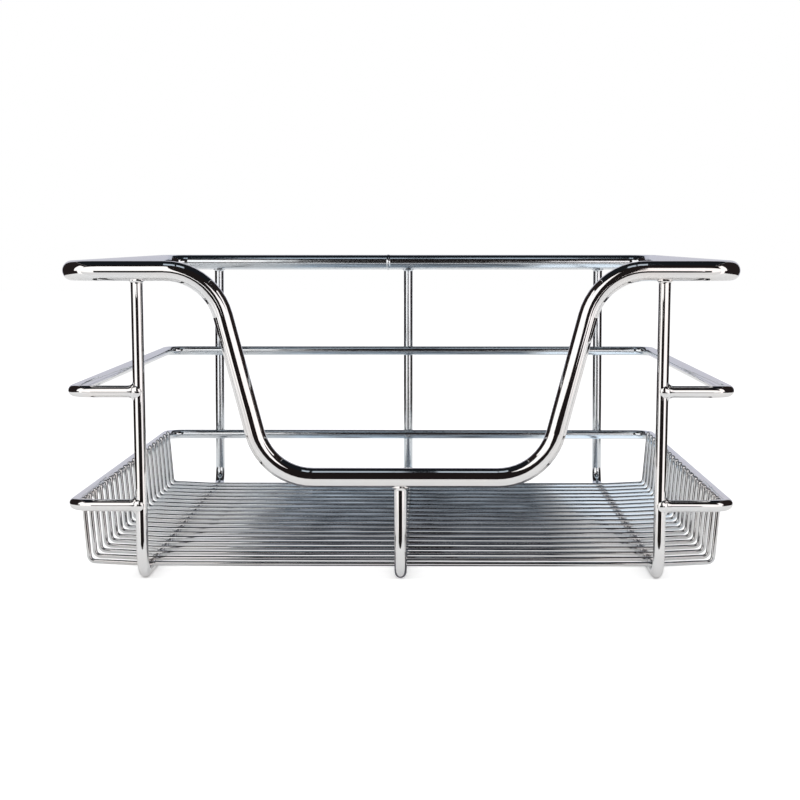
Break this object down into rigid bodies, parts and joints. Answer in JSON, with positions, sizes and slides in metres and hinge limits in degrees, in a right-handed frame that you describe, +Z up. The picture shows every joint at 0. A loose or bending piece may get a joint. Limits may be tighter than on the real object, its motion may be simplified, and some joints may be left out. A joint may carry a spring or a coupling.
{
  "type": "pull-out wire basket",
  "caption": "Welded chrome wire basket for a cabinet pull-out: a thick frame rod dips into a front handle, over wire rims, hoops and a floor of thin crosswise wires.",
  "frame": {"origin": "on the ground under the middle of the basket, level with the underside of the hoops' bottom runs", "axes": "+Z up, the handle and open front face -Y, +Y runs back into the cabinet, +X to the right seen from the front"},
  "size_m": [0.34, 0.4303, 0.1603],
  "materials": {
    "frame_rod": "bright chrome plated steel rod",
    "frame_wire": "bright chrome plated steel wire",
    "floor_wire": "bright chrome plated thin steel wire"
  },
  "bodies": {
    "root": {"top_frame": "frame_rod", "middle_rim": "frame_wire", "lower_rim": "frame_wire", "left_hoop": "frame_wire", "centre_hoop": "frame_wire", "right_hoop": "frame_wire", "floor_wire_01": "floor_wire", "floor_wire_02": "floor_wire", "floor_wire_03": "floor_wire", "floor_wire_04": "floor_wire", "floor_wire_05": "floor_wire", "floor_wire_06": "floor_wire", "floor_wire_07": "floor_wire", "floor_wire_08": "floor_wire", "floor_wire_09": "floor_wire", "floor_wire_10": "floor_wire", "floor_wire_11": "floor_wire", "floor_wire_12": "floor_wire", "floor_wire_13": "floor_wire", "floor_wire_14": "floor_wire", "floor_wire_15": "floor_wire", "floor_wire_16": "floor_wire", "floor_wire_17": "floor_wire", "floor_wire_18": "floor_wire", "floor_wire_19": "floor_wire", "floor_wire_20": "floor_wire"}
  },
  "joints": []
}
